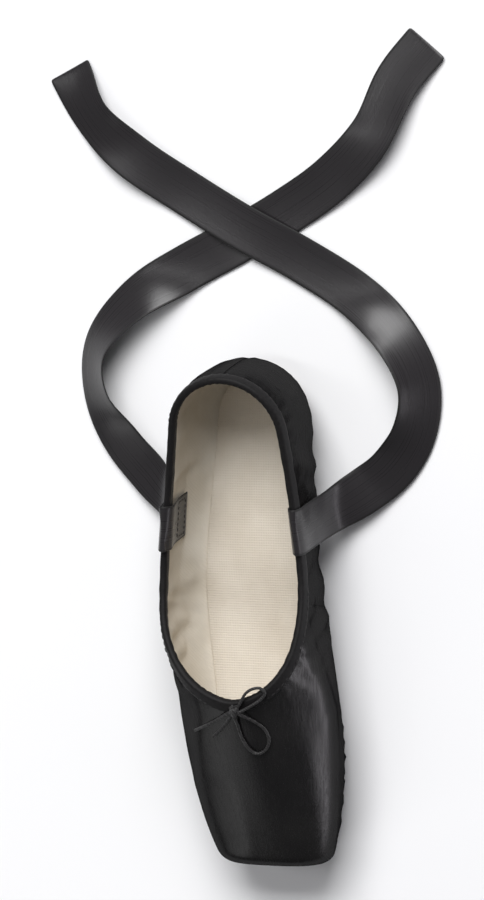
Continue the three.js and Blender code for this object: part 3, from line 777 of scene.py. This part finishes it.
def lay_cloth(piece):
    """Stores how the satin's threads run over the shoe, and the way to its seams, in metres."""
    mm = coordinates(piece) / MM
    x, height = mm[:, 0], mm[:, 2]
    off_middle = np.abs(mm[:, 1] - np.interp(x, MIDDLE_X, MIDDLE_Y))
    behind = np.maximum(HEART_HEEL - x, 0.0)
    # Round the heel the threads turn with it, and over the toe they drop down the flat platform
    along = np.maximum(x, HEART_HEEL) - HEEL_TURN * np.arctan2(behind, off_middle)
    drop = ramp(x, *PLATFORM_X) * (PLATFORM_TOP - height)
    along += drop
    up = height + drop
    side, back = seam_distances(mm)
    rows = {"cloth": np.stack([along, np.hypot(behind, off_middle), up], axis=1),
            "seams": np.stack([side, back, np.zeros(len(mm))], axis=1)}
    for name, values in rows.items():
        stored = piece.data.attributes.new(name, "FLOAT_VECTOR", "POINT")
        stored.data.foreach_set("vector", (values * MM).ravel())


def shape_upper(piece):
    """Puts the creases, ridges, gathers, seams and pleats into the satin."""
    points = coordinates(piece)
    lift = np.zeros(len(points))
    away = outward(points)
    away /= np.linalg.norm(away, axis=1)[:, None]
    mm = points / MM
    x, y, height = mm.T
    side = np.sign(y - np.interp(x, MIDDLE_X, MIDDLE_Y))
    steep = ramp(np.abs(away[:, 1]), *STEEP)
    for which, creases in ((1, CREASES_MEDIAL), (-1, CREASES_LATERAL)):
        on_side = np.where(side == which, steep, 0.0)
        for line, depth, width in creases:
            lift += on_side * trough(line_distance(mm[:, [0, 2]], line), depth, width)
    over = height - np.interp(x, FOLD_X, FOLD_Z)
    window = ramp(x, FOLD_X[0], FOLD_X[0] + FOLD_FADE) * ramp(x, FOLD_X[-1], FOLD_X[-1] - FOLD_FADE)
    hang = np.tanh(over / FOLD_HALF) * np.exp(-(over / FOLD_REACH) ** 2)
    lift += np.where(side > 0, steep, 0.0) * window * FOLD_DEPTH * hang
    for line, depth, width in CREASES_VAMP:
        lift += ramp(height, *VAMP_HEIGHTS) * trough(line_distance(mm[:, [0, 1]], line), depth, width)
    for distance in seam_distances(mm):
        lift += ramp(height, *SEAM_HEIGHTS) * trough(np.abs(distance), SEAM_DEPTH, SEAM_HALF)
    edge_height = BOX_EDGE_HEIGHT + BOX_WING_HEIGHT * ramp(x, *BOX_WING_X)
    edge_height *= ramp(x, BOX_EDGE[0][0], BOX_EDGE[0][0] + BOX_EDGE_FADE)
    lift += edge_height * np.exp(-(line_distance(mm, BOX_EDGE) / BOX_EDGE_HALF) ** 2)
    shoulder = SHOULDER_HEIGHT * np.exp(-((x - SHOULDER_X) / SHOULDER_RUN) ** 2)
    lift += shoulder * np.exp(-(line_distance(mm, SHOULDER) / SHOULDER_HALF) ** 2)
    gap, place = ring_place(points)
    # The gathers are short and low at the throat, and run down the slack sides
    slack_side = ramp(x, *GATHER_SIDES_X)
    reach = GATHER_REACH + (GATHER_REACH_SIDES - GATHER_REACH) * slack_side
    depth = GATHER_DEPTH * (GATHER_THROAT_SHARE + (1 - GATHER_THROAT_SHARE) * slack_side)
    lift += depth * gathers(place) * np.exp(-gap / (reach * MM))
    # Pleats fan out under the toe from the end of the sole, a little unevenly
    turn = np.arctan2(y - PLEAT_CENTRE[1], x - PLEAT_CENTRE[0])
    fold = 1 - 2 * np.abs(np.sin(turn * PLEAT_COUNT / 2 + 0.5 * np.sin(turn * 5)))
    pleated = ramp(height, *PLEAT_HEIGHTS) * ramp(x, *PLEAT_X) * ramp(x, *PLEAT_END_X)
    lift += PLEAT_DEPTH * pleated * fold
    # Two slow waves, 36 to 57 mm long, for the slack of the cloth between the creases
    slack = np.sin(x / 9.1 + height / 6.3) + np.sin(x / 5.7 - y / 8.2 + 1.0)
    lift += SLACK_DEPTH * slack * np.maximum(ramp(x, *SLACK_X), SLACK_OVER_BOX) * ramp(height, *SLACK_HEIGHTS)
    move_to(piece, points + away * (lift * MM)[:, None])


def line_inside(piece):
    """Gives the faces that look inwards the second material, the lining."""
    mesh = piece.data
    centres = np.empty(len(mesh.polygons) * 3)
    mesh.polygons.foreach_get("center", centres)
    normals = np.empty(len(mesh.polygons) * 3)
    mesh.polygons.foreach_get("normal", normals)
    away = outward(centres.reshape(-1, 3))
    inward = (away * normals.reshape(-1, 3)).sum(axis=1) < 0
    mesh.polygons.foreach_set("material_index", inward.astype(np.int32))
    mesh.update()


upper = copy_solid("upper", "satin_upper")
subdivide(upper, 2)
lay_cloth(upper)
shape_upper(upper)
dress(upper, [satin, lining], "satin", "upper")
line_inside(upper)


def gather_casing(piece):
    """Small folds round the tape where the drawstring pulls it in."""
    points = coordinates(piece)
    place = ring_place(points)[1]
    lift = CASING_GATHER_DEPTH * MM * gathers(place * CASING_GATHER_RATE)
    move_to(piece, points + vertex_normals(piece) * lift[:, None])


gather_casing(casing)
dress(casing, [tape], "casing_tape", "topline_casing")

outsole = copy_solid("outsole", "leather_outsole")
pick(outsole)
edge_round = outsole.modifiers.new("edge", "BEVEL")
edge_round.width = SOLE_ROUND * MM
edge_round.segments = 2
edge_round.limit_method = "ANGLE"
edge_round.angle_limit = math.radians(SOLE_ROUND_ANGLE)
bpy.ops.object.modifier_apply(modifier=edge_round.name)
dress(outsole, [sole_leather], "sole_leather", "outsole")

insole = copy_solid("insole", "canvas_insole")
subdivide(insole, 2)
dress(insole, [sock_canvas], "sock_cloth", "insole")


def ribbon_way(route):
    """Middle line of a ribbon, the ways its face and its width look, and the length so far."""
    line = catmull([row[0] for row in route], RIBBON_STEPS) * MM
    looks = catmull([row[1] for row in route], RIBBON_STEPS)
    travel = np.gradient(line, axis=0)
    travel /= np.linalg.norm(travel, axis=1)[:, None]
    looks -= travel * (looks * travel).sum(axis=1)[:, None]
    looks /= np.linalg.norm(looks, axis=1)[:, None]
    across = np.cross(travel, looks)
    length = np.concatenate([[0.0], np.cumsum(np.linalg.norm(np.diff(line, axis=0), axis=1))])
    return line, looks, across, length


def make_ribbon(name, route, solid):
    """A woven ribbon laid along its route, from a flat grid with its weave laid out."""
    line, looks, across, length = ribbon_way(route)
    rows = len(line) - 1
    bpy.ops.object.select_all(action="DESELECT")
    bpy.ops.mesh.primitive_grid_add(x_subdivisions=RIBBON_COLUMNS, y_subdivisions=rows, size=2)
    piece = bpy.context.object
    piece.name = name
    flat = coordinates(piece)
    column = np.rint((flat[:, 0] + 1) / 2 * RIBBON_COLUMNS).astype(int)
    row = np.rint((flat[:, 1] + 1) / 2 * rows).astype(int)
    share = column / RIBBON_COLUMNS - 0.5
    # A shallow curl across the width, away from the sewn end
    curl = (4 * share ** 2 - RIBBON_CURL_MEAN) * RIBBON_CURL * ramp(length[row], *RIBBON_CURL_ALONG)
    place = line[row] + across[row] * (share * RIBBON_WIDTH * MM)[:, None]
    place += looks[row] * (curl * MM)[:, None]
    move_to(piece, place)
    weave = piece.data.uv_layers.active.data
    for corner in piece.data.loops:
        k = corner.vertex_index
        weave[corner.index].uv = (column[k] / RIBBON_COLUMNS * RIBBON_WIDTH * MM, length[row[k]])
    pick(piece)
    body = piece.modifiers.new("thickness", "SOLIDIFY")
    body.thickness = RIBBON_THICK * MM
    body.offset = 0
    bpy.ops.object.modifier_apply(modifier=body.name)
    subdivide(piece, 1)
    dress(piece, [ribbon_satin], "ribbon_satin", solid)


make_ribbon("satin_ribbon_medial", RIBBON_MEDIAL, "ribbon_medial")
make_ribbon("satin_ribbon_lateral", RIBBON_LATERAL, "ribbon_lateral")


def make_strand(name, points):
    """One strand of the drawstring as a round cord along its points, and its length."""
    line = catmull(points, CORD_STEPS) * MM
    shape = bpy.data.curves.new(name, "CURVE")
    shape.dimensions = "3D"
    shape.bevel_depth = CORD_DIAMETER * MM / 2
    shape.bevel_resolution = 3
    shape.use_fill_caps = True
    spline = shape.splines.new("POLY")
    spline.points.add(len(line) - 1)
    for point, place in zip(spline.points, line):
        point.co = (*place, 1.0)
    piece = bpy.data.objects.new(name, shape)
    bpy.context.scene.collection.objects.link(piece)
    shape.materials.append(cotton_cord)
    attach(piece, "root")
    return piece, float(np.linalg.norm(np.diff(line, axis=0), axis=1).sum())


def make_knot():
    """The knot of the bow: two turns of cord drawn round a small core."""
    bpy.ops.object.select_all(action="DESELECT")
    bpy.ops.mesh.primitive_uv_sphere_add(segments=20, ring_count=12, radius=1.0)
    core = bpy.context.object
    core.scale = [size * MM for size in KNOT_CORE]
    core.location = Vector(KNOT_AT) * MM
    turns = []
    for lean, shift in KNOT_TURNS:
        bpy.ops.mesh.primitive_torus_add(major_radius=KNOT_TURN_RADIUS * MM,
                                         minor_radius=KNOT_CORD_RADIUS * MM,
                                         major_segments=24, minor_segments=10)
        turn = bpy.context.object
        turn.rotation_euler = (math.radians(90), 0.0, lean)
        turn.scale = KNOT_TURN_SCALE
        turn.location = (Vector(KNOT_AT) + Vector((0, shift, KNOT_TURN_RISE))) * MM
        turns.append(turn)
    pick(core, *turns)
    bpy.ops.object.transform_apply(location=True, rotation=True, scale=True)
    bpy.ops.object.join()
    core.name = "drawstring_bow_knot"
    return dress(core, [cotton_cord], "cotton_cord", "drawstring_knot")


knot = make_knot()
strand_low, low_length = make_strand("drawstring_low", STRAND_LOW)
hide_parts("drawstring_loop_low", "drawstring_end_long")
strand_high, high_length = make_strand("drawstring_high", STRAND_HIGH)
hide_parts("drawstring_loop_high", "drawstring_end_short")


def one_stitch(length, width):
    """Points and faces of one stitch, a small bead along X, from its size in millimetres."""
    bpy.ops.object.select_all(action="DESELECT")
    bpy.ops.mesh.primitive_uv_sphere_add(segments=8, ring_count=5, radius=1.0)
    bead = bpy.context.object
    bead.scale = (width * MM / 2, width * MM / 2, length * MM / 2)
    bead.rotation_euler = (0.0, math.radians(90), 0.0)
    bpy.ops.object.transform_apply(location=True, rotation=True, scale=True)
    points = coordinates(bead)
    faces = [tuple(face.vertices) for face in bead.data.polygons]
    bpy.data.objects.remove(bead)
    return points, faces


def sew(name, seams, length, pitch, width):
    """Stitches round closed lines of (points, normals), joined in one piece."""
    bead, faces = one_stitch(length, width)
    points = []
    polygons = []
    for line, normals in seams:
        count = int(round(resample(line, 2)[1] / (pitch * MM)))
        places = resample(line, count)[0]
        lengths = np.linalg.norm(line[None, :, :] - places[:, None, :], axis=2)
        faced = normals[lengths.argmin(axis=1)]
        ahead = np.roll(places, -1, axis=0) - np.roll(places, 1, axis=0)
        for place, up, along in zip(places, faced, ahead):
            along = along / np.linalg.norm(along)
            up = up - along * (up @ along)
            up = up / np.linalg.norm(up)
            turn = np.stack([along, np.cross(up, along), up], axis=1)
            base = sum(len(block) for block in points)
            points.append(bead @ turn.T + place)
            polygons += [tuple(base + k for k in face) for face in faces]
    mesh = bpy.data.meshes.new(name)
    mesh.from_pydata(np.vstack(points).tolist(), [], polygons)
    mesh.update()
    piece = bpy.data.objects.new(name, mesh)
    bpy.context.scene.collection.objects.link(piece)
    dress(piece, [thread], "casing_tape")


# Stitches round the outer face of the casing, a little above its lower edge
ring_out = outward(topline)
ring_out /= np.linalg.norm(ring_out, axis=1)[:, None]
ring_ahead = np.roll(topline, -3, axis=0) - np.roll(topline, 3, axis=0)
ring_ahead /= np.linalg.norm(ring_ahead, axis=1)[:, None]
casing_points = coordinates(casing)
ring_up = np.cross(ring_ahead, ring_out)
if ring_up[:, 2].mean() < 0:
    ring_up = -ring_up
stitch_line = topline + ring_up * CASING_STITCH_ABOVE * MM
nearest = np.array([np.linalg.norm(casing_points - p, axis=1).argmin() for p in stitch_line])
stitch_normals = vertex_normals(casing)[nearest]
stitch_heights = ((casing_points[nearest] - stitch_line) * stitch_normals).sum(axis=1)
stitch_line = stitch_line + stitch_normals * stitch_heights[:, None]
sew("casing_stitches", [(stitch_line, stitch_normals)], *CASING_STITCH)


def sewn_end(route):
    """Rectangle of stitches that holds a ribbon's end, on the face that looks into the shoe."""
    line, looks, across, length = ribbon_way(route)
    above = (RIBBON_THICK / 2 + RIBBON_STITCH_ABOVE) * MM
    places = []
    faced = []
    for (side_a, along_a), (side_b, along_b) in zip(RIBBON_SEWN, RIBBON_SEWN[1:] + RIBBON_SEWN[:1]):
        for share in np.arange(RIBBON_STITCH_STEPS) / RIBBON_STITCH_STEPS:
            k = np.abs(length - (along_a + share * (along_b - along_a)) * MM).argmin()
            offset = (side_a + share * (side_b - side_a)) * MM
            places.append(line[k] + across[k] * offset + looks[k] * above)
            faced.append(looks[k])
    return np.array(places), np.array(faced)


sew("ribbon_end_stitches", [sewn_end(RIBBON_MEDIAL), sewn_end(RIBBON_LATERAL)], *RIBBON_STITCH)


def place_camera():
    """Camera at the photograph's angle to the shoe, looking down on it."""
    back = Vector((-math.sin(CAMERA_LEAN),
                   math.cos(CAMERA_LEAN) * math.sin(CAMERA_TURN),
                   math.cos(CAMERA_LEAN) * math.cos(CAMERA_TURN)))
    up = Vector((-1, 0, 0))
    up = (up - back * up.dot(back)).normalized()
    right = up.cross(back)
    rolled_right = right * math.cos(CAMERA_ROLL) + up * math.sin(CAMERA_ROLL)
    rolled_up = back.cross(rolled_right)
    bpy.ops.object.camera_add()
    camera = bpy.context.object
    camera.name = "photo_camera"
    camera.data.lens = CAMERA_LENS
    camera.data.sensor_fit = "VERTICAL"
    camera.data.sensor_height = CAMERA_SENSOR
    camera.data.sensor_width = CAMERA_SENSOR
    distance = CAMERA_FIELD * CAMERA_LENS / CAMERA_SENSOR
    turn = Matrix((rolled_right, rolled_up, back)).transposed().to_4x4()
    camera.matrix_world = Matrix.Translation(CAMERA_TARGET + back * distance) @ turn
    bpy.context.scene.camera = camera


def soft_light(name, place, aim, along, wide, deep, power, colour):
    """A rectangular soft light that looks at a point, its width laid along a direction."""
    place = Vector(place)
    back = (place - Vector(aim)).normalized()
    side = Vector(along)
    side = (side - back * side.dot(back)).normalized()
    turn = Matrix((side, back.cross(side), back)).transposed().to_4x4()
    bpy.ops.object.light_add(type="AREA")
    light = bpy.context.object
    light.name = name
    light.data.shape = "RECTANGLE"
    light.data.size = wide
    light.data.size_y = deep
    light.data.energy = power
    light.data.color = colour
    light.matrix_world = Matrix.Translation(place) @ turn


bpy.ops.object.select_all(action="DESELECT")
bpy.ops.mesh.primitive_plane_add(size=FLOOR_SIZE, location=(0, 0, FLOOR_HEIGHT))
floor = bpy.context.object
floor.name = "floor"
floor.data.materials.append(pale_floor)
place_camera()
for light_row in LIGHTS:
    soft_light(*light_row)
world = bpy.context.scene.world or bpy.data.worlds.new("studio")
bpy.context.scene.world = world
world.use_nodes = True
sky = world.node_tree.nodes["Background"]
sky.inputs["Color"].default_value = linear("#f4f5f7")
sky.inputs["Strength"].default_value = SKY_STRENGTH
bpy.context.scene.view_settings.view_transform = "Standard"
